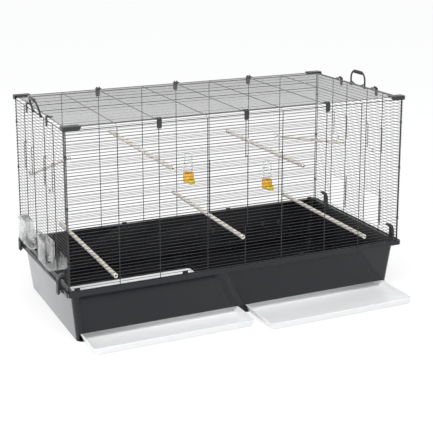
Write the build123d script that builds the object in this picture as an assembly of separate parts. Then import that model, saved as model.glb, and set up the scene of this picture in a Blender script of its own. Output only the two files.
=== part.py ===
from build123d import *
import os
from math import atan2, degrees

# Large indoor bird cage: a deep plastic tub with two slide-out trays, a cage of welded
# wire panels clipped together at the edges, doors, handles, latches, perches, feeders
# and drinking fountains.
# Millimetres. X runs to the right, Y to the back, Z up.
# The origin is on the ground under the middle of the tub.

# Driving dimensions of the whole cage
CAGE_W = 1200.0          # between the wire planes of the two side panels
CAGE_D = 580.0           # between the wire planes of the front and back panels
TUB_H = 177.0            # ground to the top of the tub's rim
PITCH = 10.7             # between neighbouring fine wires
ROWS = 47                # wire spaces in the height of a panel

# Wires
FINE_R = 0.8
UPRIGHT_R = 1.25
FRAME_R = 1.5
WELD = 0.15              # how far two welded wires sink into each other

# Tub
WALL = 3.0
TUB_TOP_X = 590.0
TUB_TOP_Y = 286.0
TUB_FOOT_X = 570.0
TUB_FOOT_Y = 270.0
TUB_CORNER_R = 22.0
RIM_X = 608.0
RIM_Y = 300.0
RIM_DROP = 15.0
SLOT_TOP = 28.0          # underside of the front wall above the tray slots
RIB_TOP = 8.0            # half width of the rib between the tray bays, at its top
RIB_FOOT = 16.0
LEDGE_Z = 39.0

# Trays
TRAY_OUTER_X = 560.0
TRAY_INNER_X = 14.0
TRAY_DEPTH = 533.0
TRAY_H = 21.5
TRAY_WALL = 2.2
TRAY_LEAN = 9.0          # how much smaller the tray is at its foot, on every side
TRAY_LIP = 2.4
LEFT_TRAY_OUT = 125.0    # how far each tray is pulled out of the tub
RIGHT_TRAY_OUT = 180.0
GAP = 0.3                # running clearance between pieces that move past each other

# Upright wires
LONG_UPRIGHTS = [-434.0, -299.0, -134.0, 0.0, 134.0, 299.0, 434.0]
LONG_POST = 596.0
SIDE_UPRIGHTS = [-167.0, -68.0, 68.0, 167.0]
SIDE_POST = 281.0
OVERHANG = 3.0           # of a fine wire past its last upright

# Roof
ROOF_RISE = 8.0
ROOF_INSET = 10.0
ROOF_FINE_R = 0.6        # the roof's fine wires are thinner than the walls'

# Openings, counted in wire rows from the tub
FRONT_DOOR_ROWS = (12, 34)
NEST_DOOR_ROWS = (26, 35)
HATCH_ROWS = (1, 12)
BAYS = {"front": -117.5, "rear": 117.5}
BAY_HALF = 49.5

PANEL_H = PITCH * ROWS
TOP_Z = TUB_H + PANEL_H
ROOF_Z = TOP_Z + ROOF_RISE
UPRIGHT_IN = FINE_R + UPRIGHT_R - WELD     # uprights stand this far inside the fine wires
POST_IN = FINE_R + FRAME_R - WELD
RAIL_OUT = UPRIGHT_R + FRAME_R - WELD - UPRIGHT_IN
SIDE_X = CAGE_W / 2
FRONT_Y = CAGE_D / 2


def row_z(row):
    return TUB_H + PITCH * row


def rod(start, end, radius):
    a = Vector(*start)
    b = Vector(*end)
    return Solid.make_cylinder(radius, (b - a).length, Plane(origin=a, z_dir=b - a))


def bent_rod(points, radius, bend, close=False):
    """A round wire bent through the points, with the same radius at every corner."""
    path = FilletPolyline(*points, radius=bend, close=close)
    if close:
        start = path.edges()[0] @ 0.5
        heading = path.edges()[0] % 0.5
        return sweep(Plane(origin=start, z_dir=heading) * Circle(radius), path=path)
    heading = Vector(*points[1]) - Vector(*points[0])
    return sweep(Plane(origin=points[0], z_dir=heading) * Circle(radius), path=path)


def block(x0, x1, y0, y1, z0, z1):
    return Pos((x0 + x1) / 2, (y0 + y1) / 2, (z0 + z1) / 2) * Box(x1 - x0, y1 - y0, z1 - z0)


def group(solids):
    return Compound([s for part in solids for s in part.solids()])


def save(name, shape):
    export_step(shape, f"parts/{name}.step")


# Each panel is laid out flat: x along the fine wires, y up the panel, z outwards.

def cut_spans(length_from, length_to, holes):
    """The stretches of a wire that are left when the holes are taken out."""
    spans = [(length_from, length_to)]
    for low, high in holes:
        kept = []
        for a, b in spans:
            if high <= a or low >= b:
                kept.append((a, b))
                continue
            if low > a:
                kept.append((a, low))
            if high < b:
                kept.append((high, b))
        spans = kept
    return spans


def wire_panel(half, post, uprights, rows, height, foot, holes=(), fine=FINE_R):
    """Fine wires, uprights, end posts and two rails. A hole is x from, x to, row from, row to."""
    step = height / rows
    wire_z = FINE_R - fine       # a thinner wire still rests on the uprights
    solids = []
    for row in range(1, rows):
        gone = [(x0, x1) for x0, x1, r0, r1 in holes if r0 < row < r1]
        for a, b in cut_spans(-half, half, gone):
            solids.append(rod((a, step * row, -wire_z), (b, step * row, -wire_z), fine))
    for x in uprights:
        gone = [(step * r0 + OVERHANG, step * r1 - OVERHANG)
                for x0, x1, r0, r1 in holes if x0 < x < x1]
        for a, b in cut_spans(foot, height, gone):
            solids.append(rod((x, a, -UPRIGHT_IN), (x, b, -UPRIGHT_IN), UPRIGHT_R))
    for x in (-post, post):
        solids.append(rod((x, foot, -POST_IN), (x, height, -POST_IN), FRAME_R))
    for y in (foot + FRAME_R, height):
        solids.append(rod((-half, y, RAIL_OUT), (half, y, RAIL_OUT), FRAME_R))
    return group(solids)


def face_plane(side):
    """The plane of a panel, with its x and y as in the flat layout."""
    if side == "front":
        return Plane(origin=(0, -FRONT_Y, TUB_H), x_dir=(1, 0, 0), z_dir=(0, -1, 0))
    if side == "back":
        return Plane(origin=(0, FRONT_Y, TUB_H), x_dir=(-1, 0, 0), z_dir=(0, 1, 0))
    if side == "left":
        return Plane(origin=(-SIDE_X, 0, TUB_H), x_dir=(0, -1, 0), z_dir=(-1, 0, 0))
    return Plane(origin=(SIDE_X, 0, TUB_H), x_dir=(0, 1, 0), z_dir=(1, 0, 0))


DOOR_EDGE = 134.0 - OVERHANG + 0.5
UPEND = Rot(0, 180, 0) * Rot(-90, 0, 0)    # from z up and y outwards to the flat layout


def bay_hole(centre, rows):
    reach = BAY_HALF - OVERHANG + 0.5
    return (centre - reach, centre + reach, rows[0], rows[1])


def front_panel():
    holes = [(-DOOR_EDGE, DOOR_EDGE, FRONT_DOOR_ROWS[0], FRONT_DOOR_ROWS[1])]
    flat = wire_panel(LONG_POST + OVERHANG, LONG_POST, LONG_UPRIGHTS, ROWS, PANEL_H, 0.1, holes)
    return face_plane("front") * flat


def back_panel():
    flat = wire_panel(LONG_POST + OVERHANG, LONG_POST, LONG_UPRIGHTS, ROWS, PANEL_H, 0.1)
    return face_plane("back") * flat


def side_panel(side):
    holes = []
    for y in BAYS.values():
        holes.append(bay_hole(y, NEST_DOOR_ROWS))
        holes.append(bay_hole(y, HATCH_ROWS))
    flat = wire_panel(SIDE_POST + OVERHANG, SIDE_POST, SIDE_UPRIGHTS, ROWS, PANEL_H, 0.1, holes)
    return face_plane(side) * flat


def roof_panel():
    half_x = SIDE_X - ROOF_INSET
    depth = CAGE_D - 2 * ROOF_INSET
    rows = round(depth / PITCH)
    flat = wire_panel(half_x + OVERHANG, half_x, LONG_UPRIGHTS, rows, depth, 0.0,
                      fine=ROOF_FINE_R)
    return Pos(0, -depth / 2, ROOF_Z) * flat


# Tub

def tub_block(inset, floor_z):
    """The tub's tapered block, drawn in by the inset, from the floor up to the rim."""
    def outline(z):
        t = z / TUB_H
        x = TUB_FOOT_X + (TUB_TOP_X - TUB_FOOT_X) * t - inset
        y = TUB_FOOT_Y + (TUB_TOP_Y - TUB_FOOT_Y) * t - inset
        return Pos(0, 0, z) * RectangleRounded(2 * x, 2 * y, TUB_CORNER_R - inset)
    return loft([outline(floor_z), outline(TUB_H)])


def rim_ring(outer, inner, z0, z1):
    plate = RectangleRounded(2 * outer[0], 2 * outer[1], 12) - Rectangle(2 * inner[0], 2 * inner[1])
    return Pos(0, 0, z0) * extrude(plate, z1 - z0)


LUG_X = [-572.0, -212.0, 212.0, 572.0]
LATCH_Y = [-228.0, 228.0]
LATCH_W = 21.0
PIN_OUT = 13.0           # latch pivot, outside the side wire plane
PIN_Z = 167.0
PIN_R = 1.5


def latch_ears():
    ears = []
    for side in (-1, 1):
        for y in LATCH_Y:
            for end in (-1, 1):
                y0 = y + end * (LATCH_W / 2 + GAP)
                y1 = y0 + end * 3.0
                ear = block(RIM_X - 1, SIDE_X + PIN_OUT + 4, min(y0, y1), max(y0, y1),
                            PIN_Z - 4.5, PIN_Z + 4.5)
                ear -= rod((SIDE_X + PIN_OUT, y0 - 5, PIN_Z), (SIDE_X + PIN_OUT, y0 + 5, PIN_Z),
                           PIN_R + 0.02)
                ears.append(ear if side > 0 else mirror(ear, about=Plane.YZ))
    return ears


def base_tub():
    tub = tub_block(0, 0) - tub_block(WALL, WALL)
    wall_inner = (TUB_TOP_X - WALL, TUB_TOP_Y - WALL)
    tub += rim_ring((RIM_X, RIM_Y), wall_inner, TUB_H - WALL, TUB_H)
    tub += rim_ring((RIM_X, RIM_Y), (RIM_X - WALL, RIM_Y - WALL), TUB_H - RIM_DROP, TUB_H - 1)
    rib = Plane.XZ * Polygon((-RIB_FOOT, WALL - 1), (RIB_FOOT, WALL - 1), (RIB_TOP, SLOT_TOP - 1),
                             (-RIB_TOP, SLOT_TOP - 1), align=None)
    tub += extrude(rib, TUB_FOOT_Y + 1, both=True) & tub_block(1, 0)
    ledge = tub_block(WALL - 1, LEDGE_Z) - tub_block(WALL + 2.5, 0)
    ledge &= block(-700, 700, -200, 400, LEDGE_Z, LEDGE_Z + 3)
    tub += ledge
    slot = Plane.XZ * Polygon((RIB_FOOT + 1, WALL), (TRAY_OUTER_X + 4, WALL), (TRAY_OUTER_X + 4, SLOT_TOP),
                              (RIB_TOP + 1, SLOT_TOP), align=None)
    slot = Pos(0, -TUB_FOOT_Y, 0) * extrude(slot, 12, both=True)
    tub -= slot
    tub -= mirror(slot, about=Plane.YZ)
    for x in LUG_X:
        for y in (-FRONT_Y + 4.2, FRONT_Y - 7.2):
            tub += block(x - 9, x + 9, y, y + 3, TUB_H - 1, TUB_H + 8)
    for ear in latch_ears():
        tub += ear
    return tub


# Trays

def tray(side, pulled):
    """A shallow pan with leaning walls and a rolled lip, pulled out of its slot."""
    width = TRAY_OUTER_X - TRAY_INNER_X
    closed_front = -TUB_FOOT_Y

    def outline(z, inset, corner):
        return Pos(0, 0, z) * RectangleRounded(width - 2 * inset, TRAY_DEPTH - 2 * inset, corner)

    pan = loft([outline(0, TRAY_LEAN, 8), outline(TRAY_H, TRAY_LIP, 12)])
    hollow = loft([outline(TRAY_WALL, TRAY_LEAN + TRAY_WALL, 7),
                   outline(TRAY_H + 1, TRAY_LIP + TRAY_WALL, 10)])
    lip = Pos(0, 0, TRAY_H - 2) * extrude(
        RectangleRounded(width, TRAY_DEPTH, 13)
        - RectangleRounded(width - 2 * TRAY_LIP - 3, TRAY_DEPTH - 2 * TRAY_LIP - 3, 11), 2)
    pan = pan - hollow + lip
    x = side * (TRAY_OUTER_X + TRAY_INNER_X) / 2
    y = closed_front + TRAY_DEPTH / 2 - pulled
    return Pos(x, y, WALL + GAP) * pan


# Doors that hang from a fine wire by hooks

DOOR_OUT = 2.2           # plane of a door's fine wires, outside the panel's
HOOK_R = 1.0


def hung_door(width, wires, rows, reach):
    """A wire door in the flat layout: fine wires outside the panel and hooked uprights."""
    low = rows[0]
    hang = PITCH * rows[1]
    upright_out = DOOR_OUT + FINE_R + HOOK_R - WELD
    solids = []
    for row in range(low + 1, rows[1]):
        solids.append(rod((-width / 2, PITCH * row, DOOR_OUT), (width / 2, PITCH * row, DOOR_OUT), FINE_R))
    for x in wires:
        hook = [(x, PITCH * (low + reach), upright_out), (x, hang + upright_out - 0.1, upright_out),
                (x, hang + upright_out - 0.1, -upright_out), (x, hang - 1.5, -upright_out)]
        solids.append(bent_rod(hook, HOOK_R, upright_out - 0.3))
    return solids


def door_catch(x, low, out):
    """A small diamond of spring wire under a door's lower edge."""
    y = PITCH * (low + 1) + FINE_R
    return bent_rod([(x, y - 1, out), (x - 5, y - 8, out), (x, y - 15, out), (x + 5, y - 8, out)],
                    0.8, 1.2, close=True)


DOOR_UPRIGHT_OUT = DOOR_OUT + FINE_R + HOOK_R - WELD
CATCH_OUT = DOOR_OUT - FINE_R - 0.8 + WELD + 2 * FINE_R


def front_door():
    solids = hung_door(2 * 134 + 10, [-129.5, 4.5, 129.5], FRONT_DOOR_ROWS, 0.8)
    return face_plane("front") * group(solids)


def front_door_catches():
    solids = [door_catch(x, FRONT_DOOR_ROWS[0], CATCH_OUT + 2 * FINE_R) for x in (-118, 60, 118)]
    return face_plane("front") * group(solids)


def nest_door(side, place):
    flat = hung_door(2 * BAY_HALF + 6, [-BAY_HALF + 4, BAY_HALF - 4], NEST_DOOR_ROWS, 0.8)
    flat.append(door_catch(12, NEST_DOOR_ROWS[0], CATCH_OUT + 2 * FINE_R))
    along = BAYS[place] if side == "right" else -BAYS[place]
    return face_plane(side) * Pos(along, 0, 0) * group(flat)


# Feeder hatches of the right side, which stand ajar

HATCH_AJAR = 33.0


def feeder_hatch(place):
    """Hinged on the upright at the front edge of its bay and swung outwards."""
    axis_y = BAYS[place] - BAY_HALF
    low = PITCH * (HATCH_ROWS[0] + 1)
    high = PITCH * (HATCH_ROWS[1] - 1)
    out = DOOR_OUT + UPRIGHT_IN          # from the hinge wire out to the hatch's fine wires
    frame_out = out + FINE_R + HOOK_R - WELD
    near = 5.0
    far = 2 * BAY_HALF - 1.0
    bars = []
    for row in range(HATCH_ROWS[0] + 1, HATCH_ROWS[1]):
        bars.append(rod((near - 1, PITCH * row, out), (far + 2.5, PITCH * row, out), FINE_R))
    bars.append(rod((far, low - 2, frame_out), (far, high + 2, frame_out), HOOK_R))
    hinge = rod((near, low - 2, frame_out), (near, high + 2, frame_out), HOOK_R)
    ring_r = UPRIGHT_R + 0.4 + 0.8
    for y in (low + PITCH * 1.5, high - PITCH * 1.5):
        hinge += Pos(0, y, 0) * Rot(90, 0, 0) * Torus(ring_r, 0.8)
        length = Vector(near, 0, frame_out).length
        start = (near * ring_r / length, y, frame_out * ring_r / length)
        hinge += rod(start, (near, y, frame_out), 0.75)
    flat = Rot(0, -HATCH_AJAR, 0) * group(bars + [hinge])
    plane = face_plane("right")
    return plane * Pos(axis_y, 0, -UPRIGHT_IN) * flat


# Clips, ties, handles and latches

CLIP_W = 16.0
CLIP_H = 31.0
CLIP_OUT = 3.4


def edge_clip():
    """Joins the roof to a panel. x along the edge, y outwards, z up, origin at the top rail."""
    rail = RAIL_OUT
    front = rail + FRAME_R + 0.1
    back = -ROOF_INSET - 6.0
    top = ROOF_RISE + RAIL_OUT + FRAME_R + 0.1
    sheet = 2.6
    plate = Plane.YZ * Polygon((front, 12), (front + sheet, 12), (front + sheet, -CLIP_H + 16),
                               (front + 1.2, -CLIP_H + 13), (front, -CLIP_H + 13), align=None)
    plate = extrude(plate, CLIP_W / 2, both=True)
    taper = Plane.XZ * Polygon((-CLIP_W / 2, 30), (-CLIP_W / 2, -8), (-CLIP_W / 2 + 3, -CLIP_H),
                               (CLIP_W / 2 - 3, -CLIP_H), (CLIP_W / 2, -8), (CLIP_W / 2, 30), align=None)
    cap = block(-CLIP_W / 2, CLIP_W / 2, back, front + sheet, top, top + sheet)
    skirt = block(-CLIP_W / 2, CLIP_W / 2, front, front + sheet, 11, top + sheet)
    clip = plate + cap + skirt
    clip &= extrude(taper, 40, both=True)
    clip = fillet(clip.edges().filter_by(Axis.X).group_by(Axis.Z)[-1].sort_by(Axis.Y)[-1:], 2.0)
    for x in (-4.5, 4.5):
        clip += Pos(x, front - 3.5, top + sheet + 1.5) * Cylinder(2.7, 4.4)
        snap = rod((x - 1.5, rail, -FRAME_R - 1.15), (x + 1.5, rail, -FRAME_R - 1.15), 1.0)
        tongue = block(x - 1.5, x + 1.5, rail, front + 1, -FRAME_R - 2.15, -FRAME_R - 0.35)
        clip += snap + tongue
    return clip


def clip_place(side, along):
    plane = face_plane(side)
    return plane * Pos(along, PANEL_H, 0) * UPEND


def edge_clips():
    clip = edge_clip()
    clips = []
    for side in ("front", "back"):
        for x in (-299, 0, 299):
            clips.append(clip_place(side, x) * clip)
    for side in ("left", "right"):
        for y in BAYS.values():
            clips.append(clip_place(side, y) * clip)
    return group(clips)


CORNER_LONG = 54.0
CORNER_SHORT = 27.0


def corner_clip():
    """An angle cap over a roof corner. The front right one, with its outer faces at x, -y."""
    x1 = SIDE_X + RAIL_OUT + FRAME_R + 0.2
    y1 = -(FRONT_Y + RAIL_OUT + FRAME_R + 0.2)
    sheet = 2.6
    top = ROOF_Z + RAIL_OUT + FRAME_R + 0.1
    low = TOP_Z - 1.0
    outer = block(x1 - CORNER_LONG, x1 + sheet, y1 - sheet, y1 + CORNER_SHORT, low, top + sheet)
    inner = block(x1 - CORNER_LONG - 5, x1, y1, y1 + CORNER_SHORT + 5, low - 5, top)
    clip = outer - inner
    clip = fillet(clip.edges().filter_by(Axis.Z).sort_by(lambda e: e.center().X - e.center().Y)[-1:], 5.0)
    slope = Plane.XZ * Polygon((x1 - CORNER_LONG - 1, low - 1), (x1 - CORNER_LONG + 9, low - 1),
                               (x1 - CORNER_LONG - 1, low + 9), align=None)
    clip -= Pos(0, y1, 0) * extrude(slope, 10, both=True)
    notch = Plane.XZ * Circle(2.4)
    clip -= Pos(x1 - 14, y1, low + 0.8) * extrude(notch, 8, both=True)
    return clip


def corner_clips():
    first = corner_clip()
    names = {(1, -1): "front_right", (-1, -1): "front_left", (1, 1): "back_right", (-1, 1): "back_left"}
    made = {}
    for (sx, sy), name in names.items():
        clip = first
        if sx < 0:
            clip = mirror(clip, about=Plane.YZ)
        if sy > 0:
            clip = mirror(clip, about=Plane.XZ)
        made[name] = clip
    return made


TIE_ROWS = (7.5, 24.5, 39.5)


def corner_ties():
    """Bands round the two posts of each corner."""
    front_post = (LONG_POST, -(FRONT_Y - POST_IN))
    side_post = (SIDE_X - POST_IN, -SIDE_POST)
    dx = side_post[0] - front_post[0]
    dy = side_post[1] - front_post[1]
    apart = Vector(dx, dy, 0).length
    inner = SlotCenterToCenter(apart, 2 * (FRAME_R + 0.1))
    outer = SlotCenterToCenter(apart, 2 * (FRAME_R + 2.0))
    band = extrude(outer - inner, 1.6, both=True)
    turn = degrees(atan2(dy, dx))
    ties = []
    for row in TIE_ROWS:
        middle = Pos(front_post[0] + dx / 2, front_post[1] + dy / 2, row_z(row))
        tie = middle * Rot(0, 0, turn) * band
        ties += [tie, mirror(tie, about=Plane.YZ)]
        back = mirror(tie, about=Plane.XZ)
        ties += [back, mirror(back, about=Plane.YZ)]
    return group(ties)


HANDLE_HALF = 46.0
HANDLE_H = 57.0
HANDLE_R = 3.1
LEFT_HANDLE_LEAN = 16.0


def handle_shape():
    """Carrying handle in its own plane: y along the cage side, z up, origin at the hinge rail."""
    legs = [(0, -HANDLE_HALF, 0), (0, -HANDLE_HALF, HANDLE_H - HANDLE_R),
            (0, HANDLE_HALF, HANDLE_H - HANDLE_R), (0, HANDLE_HALF, 0)]
    handle = bent_rod(legs, HANDLE_R, 30.0)
    grip = Pos(0, 0, HANDLE_H - 7.0) * Rot(90, 0, 0) * extrude(SlotOverall(13.0, 9.0, rotation=90), 27, both=True)
    grip = fillet(grip.edges(), 2.5)
    handle += grip
    brace = RadiusArc((-HANDLE_HALF, 14), (HANDLE_HALF, 14), -90)
    brace = Plane.YZ * brace
    start = brace @ 0
    handle += sweep(Plane(origin=start, z_dir=brace % 0) * Circle(2.2), path=brace)
    for end in (-1, 1):
        y = end * HANDLE_HALF
        handle += rod((0, y - 4.5, 0), (0, y + 4.5, 0), 4.6)
        toe = [(0, y, 0), (0, y - end * 9, -1), (0, y - end * 11, 5)]
        handle += bent_rod(toe, 1.9, 1.5)
    handle -= rod((0, -HANDLE_HALF - 20, 0), (0, HANDLE_HALF + 20, 0), FRAME_R + 0.35)
    return handle


def handle(side):
    shape = handle_shape()
    sign = 1 if side == "right" else -1
    lean = 0 if side == "right" else -LEFT_HANDLE_LEAN
    return Pos(sign * (SIDE_X + RAIL_OUT), 0, TOP_Z) * Rot(0, lean, 0) * shape


def latch_shape():
    """A side latch from its pivot. x outwards from the pivot, z up, 0 at the pivot."""
    w = LATCH_W - 0.4
    outline = Polygon((-2.8, 14), (-4.0, 0), (-2.5, -3.6), (2.5, -12), (7.5, -12), (7.4, 0), (6.4, 14),
                      (5.4, 30), (1.0, 43), (-8.5, 50.5), (-17.5, 51.0), (-17.5, 44.2), (-10.5, 43.4),
                      (-5.0, 39), (-2.4, 29), align=None)
    body = extrude(Plane.XZ * outline, w / 2, both=True)
    body += rod((0, -w / 2, 0), (0, w / 2, 0), 4.0)
    body -= rod((0, -w, 0), (0, w, 0), PIN_R + 0.06)
    window = block(-12, 10, -w / 2 + 5.5, w / 2 - 5.5, 17, 33)
    return body - window


def latch(side, y):
    shape = latch_shape()
    if side == "left":
        shape = mirror(shape, about=Plane.YZ)
    sign = 1 if side == "right" else -1
    return Pos(sign * (SIDE_X + PIN_OUT), y, PIN_Z) * shape


def latch_pins():
    reach = LATCH_W / 2 + GAP + 3.0
    return group([rod((s * (SIDE_X + PIN_OUT), y - reach, PIN_Z), (s * (SIDE_X + PIN_OUT), y + reach, PIN_Z), PIN_R)
                  for s in (-1, 1) for y in LATCH_Y])


# Perches

PERCH_R = 7.0
PERCH_BORE_R = 3.6
PERCHES = {
    "perch_low_left": (-449.5, 3),
    "perch_low_middle": (-10.6, 9),
    "perch_low_right": (457.3, 3),
    "perch_high_left": (-256.1, 33),
    "perch_high_right": (212.1, 29),
}


def perch(x, row):
    """A tube from front to back whose split ends straddle one fine wire of each panel."""
    z = row_z(row)
    end = FRONT_Y + 4.0
    tube = rod((x, -end, z), (x, end, z), PERCH_R) - rod((x, -end - 1, z), (x, end + 1, z), PERCH_BORE_R)
    for s in (-1, 1):
        y0 = s * (FRONT_Y - 9.0)
        y1 = s * (end + 1.0)
        tube -= block(x - 8, x + 8, min(y0, y1), max(y0, y1), z - 1.1, z + 1.1)
    return tube


CORNER_PERCH_ROW = 25.5
CORNER_PERCH_R = 4.0
CORNER_BACK_X = {"left": -414.0, "right": 417.0}
CORNER_SIDE_Y = {"left": 124.0, "right": 77.0}
HOLDER_IN = 9.0          # from a panel's fine wires in to the rod's seat


def corner_seats(side):
    sign = -1 if side == "left" else 1
    z = row_z(CORNER_PERCH_ROW)
    back = Vector(CORNER_BACK_X[side], FRONT_Y - HOLDER_IN, z)
    flank = Vector(sign * (SIDE_X - HOLDER_IN), CORNER_SIDE_Y[side], z)
    return back, flank


def corner_perch(side):
    back, flank = corner_seats(side)
    run = (flank - back).normalized()
    return rod(tuple(back - run * 2), tuple(flank + run * 2), CORNER_PERCH_R)


def holder():
    """Grips two fine wires. x along the wires, y up, z outwards, origin on the wire plane."""
    body = Pos(0, 0, -HOLDER_IN + 0.2) * Box(13, 27, 15.0)
    body = fillet(body.edges().filter_by(Axis.Z), 3.0)
    body += Pos(0, 0, 0.2) * Box(6, 4.4, 4.4)
    body += Pos(0, 0, 2.1) * Box(6, 15, 1.8)
    return body


def corner_perch_holders():
    solids = []
    height = PITCH * CORNER_PERCH_ROW
    for side in ("left", "right"):
        back, flank = corner_seats(side)
        run = (flank - back).normalized()
        bore = rod(tuple(back - run * 2.2), tuple(flank + run * 2.2), CORNER_PERCH_R + 0.05)
        first = face_plane("back") * Pos(-CORNER_BACK_X[side], height, 0) * holder()
        along = CORNER_SIDE_Y[side] if side == "right" else -CORNER_SIDE_Y[side]
        second = face_plane(side) * Pos(along, height, 0) * holder()
        solids += [first - bore, second - bore]
    return group(solids)


# Feeders, which hang in the hatch openings of the left side

FEEDER_W = 84.0
FEEDER_WALL = 2.0
FEEDER_DEEP = 33.0
FEEDER_LOW = 27.0        # above the tub's rim
FEEDER_TOP = 123.0
TROUGH_IN = 40.0
LID_W = FEEDER_W + 3
LID_T = 2.0
LID_PIN_R = 0.6
LID_HINGE_OUT = 4.6
LID_HINGE_Z = FEEDER_TOP + GAP + LID_T / 2


def feeder_body(place):
    """A clear hopper outside the wires that feeds a trough inside them."""
    out0 = 3.2
    out1 = out0 + FEEDER_DEEP
    low = FEEDER_LOW
    top = FEEDER_TOP
    t = FEEDER_WALL
    outer = Polyline((out0, top), (out1, top), (out1, low + 16), (out1 - 12, low), (-TROUGH_IN + 8, low),
                     (-TROUGH_IN, low + 9), (-TROUGH_IN, low + 30), (out0, low + 52), close=True)
    inner = Polyline((out0 + t, top + 5), (out1 - t, top + 5), (out1 - t, low + 17), (out1 - 13, low + t),
                     (-TROUGH_IN + 9, low + t), (-TROUGH_IN + t, low + 10), (-TROUGH_IN + t, low + 70),
                     (out0 - t, low + 70), (out0 - t, low + 18), (out0 + t, low + 18), close=True)
    body = extrude(Plane.YZ * make_face(outer), FEEDER_W / 2, both=True)
    half = FEEDER_W / 2 - t
    body -= extrude(Plane.YZ * make_face(inner), half, both=True)
    flange = block(-FEEDER_W / 2 - 4, FEEDER_W / 2 + 4, out0, out0 + 1.8, low + 56, top)
    flange -= block(-half, half, out0 - 1, out0 + 3, low + 18, top + 1)
    body += flange
    body += block(-half, half, out0 - 0.2, out0 + t, low + 18, top)
    for end in (-1, 1):
        x0 = end * (LID_W / 2 + GAP)
        x1 = x0 + end * 2.0
        body += block(min(x0, x1), max(x0, x1), out0, LID_HINGE_OUT + 1.5, top - 3, LID_HINGE_Z + 1.5)
    body -= rod((-FEEDER_W, LID_HINGE_OUT, LID_HINGE_Z), (FEEDER_W, LID_HINGE_OUT, LID_HINGE_Z), LID_PIN_R + 0.05)
    return face_plane("left") * Pos(-BAYS[place], 0, 0) * UPEND * body


def feeder_lid(place):
    """A clear flap on top of the hopper, hinged along its edge beside the wires."""
    reach = 3.2 + FEEDER_DEEP + 2.5
    low = LID_HINGE_Z - LID_T / 2
    w = LID_W
    lid = block(-w / 2, w / 2, LID_HINGE_OUT, reach, low, low + LID_T)
    lid += block(-w / 2, w / 2, reach - 2.0, reach, low - 6, low + LID_T)
    lid += block(-12, 12, reach - 0.5, reach + 4.5, low, low + 1.6)
    lid += rod((-w / 2, LID_HINGE_OUT, LID_HINGE_Z), (w / 2, LID_HINGE_OUT, LID_HINGE_Z), LID_T / 2)
    pin = w / 2 + GAP + 1.7
    lid += rod((-pin, LID_HINGE_OUT, LID_HINGE_Z), (pin, LID_HINGE_OUT, LID_HINGE_Z), LID_PIN_R)
    return face_plane("left") * Pos(-BAYS[place], 0, 0) * UPEND * lid


# Drinking fountains on the back panel

FOUNTAINS = {"left": (38.7, 14), "right": (370.5, 8)}
TANK_R = 18.0
TANK_WALL = 1.5
TANK_H = 98.0
BOWL_R = 20.5
BOWL_H = 34.0
CLAW_RISE = 17.3         # of the claw above the bowl's foot
SPOUT_REACH = 24.0


def fountain_spot(side):
    x, row = FOUNTAINS[side]
    return (x, FRONT_Y - 3.0 - BOWL_R, row_z(row + 0.5) - CLAW_RISE)


def fountain_tank(side):
    """A clear bottle, closed and rounded at the top, that stands in the bowl."""
    outer = Pos(0, 0, TANK_H / 2) * Cylinder(TANK_R, TANK_H)
    outer = fillet(outer.edges().group_by(Axis.Z)[-1], 7.0)
    inner = Pos(0, 0, (TANK_H - TANK_WALL) / 2 - 1) * Cylinder(TANK_R - TANK_WALL, TANK_H - TANK_WALL + 2)
    inner = fillet(inner.edges().group_by(Axis.Z)[-1], 5.5)
    x, y, z = fountain_spot(side)
    return Pos(x, y, z + 11.0) * (outer - inner)


def fountain_bowl(side):
    """The coloured foot of a fountain, with a drinking spout into the cage and a claw behind."""
    bowl = Pos(0, 0, BOWL_H / 2) * Cylinder(BOWL_R, BOWL_H)
    bowl = fillet(bowl.edges().group_by(Axis.Z)[0], 4.0)
    spout = block(-10, 10, -BOWL_R - SPOUT_REACH, 0, 0, 15)
    spout = fillet(spout.edges().filter_by(Axis.Z).sort_by(Axis.Y)[:2], 8.0)
    bowl += spout
    bowl -= Pos(0, 0, 2.0 + BOWL_H / 2) * Cylinder(TANK_R - 2.5, BOWL_H)
    bowl -= Pos(0, 0, 10.9 + BOWL_H / 2) * Cylinder(TANK_R + 0.06, BOWL_H)
    dip = block(-8, 8, -BOWL_R - SPOUT_REACH + 2, -5, 2, 20)
    dip = fillet(dip.edges().filter_by(Axis.Z).sort_by(Axis.Y)[:2], 6.0)
    bowl -= dip - Pos(0, 0, 25) * Cylinder(BOWL_R, 28.2)
    claw_y = 3.0 + BOWL_R
    bowl += block(-3, 3, BOWL_R - 1, claw_y + 1.4, CLAW_RISE - 2.2, CLAW_RISE + 2.2)
    bowl += block(-3, 3, claw_y + 1.1, claw_y + 2.9, CLAW_RISE - 7.5, CLAW_RISE + 7.5)
    x, y, z = fountain_spot(side)
    return Pos(x, y, z) * bowl


def main():
    os.makedirs("parts", exist_ok=True)
    save("base_tub", base_tub())
    save("tray_left", tray(-1, LEFT_TRAY_OUT))
    save("tray_right", tray(1, RIGHT_TRAY_OUT))
    save("front_panel", front_panel())
    save("back_panel", back_panel())
    save("left_panel", side_panel("left"))
    save("right_panel", side_panel("right"))
    save("roof_panel", roof_panel())
    save("front_door", front_door())
    save("front_door_catches", front_door_catches())
    for side in ("left", "right"):
        for place in BAYS:
            save(f"nest_door_{side}_{place}", nest_door(side, place))
    for place in BAYS:
        save(f"feeder_hatch_{place}", feeder_hatch(place))
        save(f"feeder_body_{place}", feeder_body(place))
        save(f"feeder_lid_{place}", feeder_lid(place))
    save("edge_clips", edge_clips())
    for name, clip in corner_clips().items():
        save(f"corner_clip_{name}", clip)
    save("corner_ties", corner_ties())
    for side in ("left", "right"):
        save(f"handle_{side}", handle(side))
        for place, y in zip(("front", "rear"), LATCH_Y):
            save(f"latch_{side}_{place}", latch(side, y))
    save("latch_pins", latch_pins())
    for name, (x, row) in PERCHES.items():
        save(name, perch(x, row))
    for side in ("left", "right"):
        save(f"corner_perch_{side}", corner_perch(side))
        save(f"fountain_tank_{side}", fountain_tank(side))
        save(f"fountain_bowl_{side}", fountain_bowl(side))
    save("corner_perch_holders", corner_perch_holders())


main()
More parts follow.
